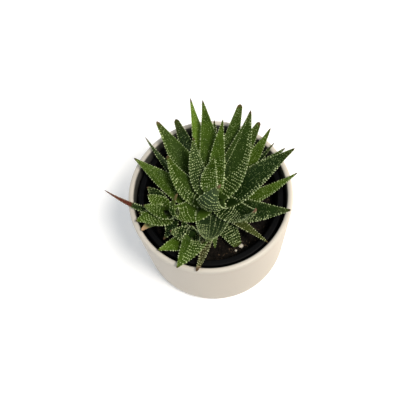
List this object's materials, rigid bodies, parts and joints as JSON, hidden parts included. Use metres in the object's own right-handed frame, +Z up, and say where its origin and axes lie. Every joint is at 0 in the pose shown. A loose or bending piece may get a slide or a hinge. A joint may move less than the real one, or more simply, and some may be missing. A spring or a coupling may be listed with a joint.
{
  "type": "potted haworthia",
  "caption": "Small succulent with white-banded pointed leaves in rosettes, growing in dark soil in a black plastic pot inside a round matte ceramic cover pot.",
  "frame": {"origin": "centre of the cover pot's foot, on the surface it stands on", "axes": "+Z up along the pot's axis, +Y towards the back of the plant, where the longest leaves lean"},
  "size_m": [0.1364, 0.1204, 0.134],
  "materials": {
    "ceramic": "matte, warm off-white",
    "black_plastic": "smooth, slightly satin black",
    "soil": "dark, crumbly potting soil",
    "perlite": "white foamed grains",
    "stem_skin": "green stem skin",
    "leaf_skin": "firm green leaf skin with raised white bands",
    "dry_leaf": "dry brown leaf"
  },
  "bodies": {
    "root": {"cover_pot": "ceramic", "nursery_pot": "black_plastic", "soil": "soil", "perlite_grain_1": "perlite", "perlite_grain_2": "perlite", "perlite_grain_3": "perlite", "stem_main": "stem_skin", "stem_left": "stem_skin", "stem_front": "stem_skin", "leaf_low_back": "leaf_skin", "leaf_low_back_dry": "dry_leaf", "leaf_low_back_left": "leaf_skin", "leaf_low_left": "leaf_skin", "leaf_low_right_upper": "leaf_skin", "leaf_low_right_dark": "leaf_skin", "leaf_low_right": "leaf_skin", "leaf_low_right_front": "leaf_skin", "leaf_low_front_right": "leaf_skin", "leaf_low_front_short": "leaf_skin", "leaf_low_front_pale": "leaf_skin", "leaf_low_front": "leaf_skin", "leaf_second_back": "leaf_skin", "leaf_second_back_left": "leaf_skin", "leaf_second_back_right": "leaf_skin", "leaf_second_back_dark": "leaf_skin", "leaf_second_right_back": "leaf_skin", "leaf_second_right_low": "leaf_skin", "leaf_second_right": "leaf_skin", "leaf_second_left": "leaf_skin", "leaf_third_back": "leaf_skin", "leaf_third_right": "leaf_skin", "leaf_third_front_right": "leaf_skin", "leaf_third_front_left": "leaf_skin", "leaf_third_front": "leaf_skin", "leaf_heart_back": "leaf_skin", "leaf_heart_back_left": "leaf_skin", "leaf_heart_middle": "leaf_skin", "leaf_heart_front": "leaf_skin", "leaf_left_long": "leaf_skin", "leaf_left_back": "leaf_skin", "leaf_left_upper": "leaf_skin", "leaf_left_middle": "leaf_skin", "leaf_left_pale": "leaf_skin", "leaf_left_outer": "leaf_skin", "leaf_left_tan": "dry_leaf", "leaf_left_front": "leaf_skin", "leaf_left_right": "leaf_skin", "leaf_front_banded": "leaf_skin", "leaf_front_left": "leaf_skin", "leaf_front_large": "leaf_skin", "leaf_front_back": "leaf_skin", "leaf_front_heart": "leaf_skin"}
  },
  "joints": []
}
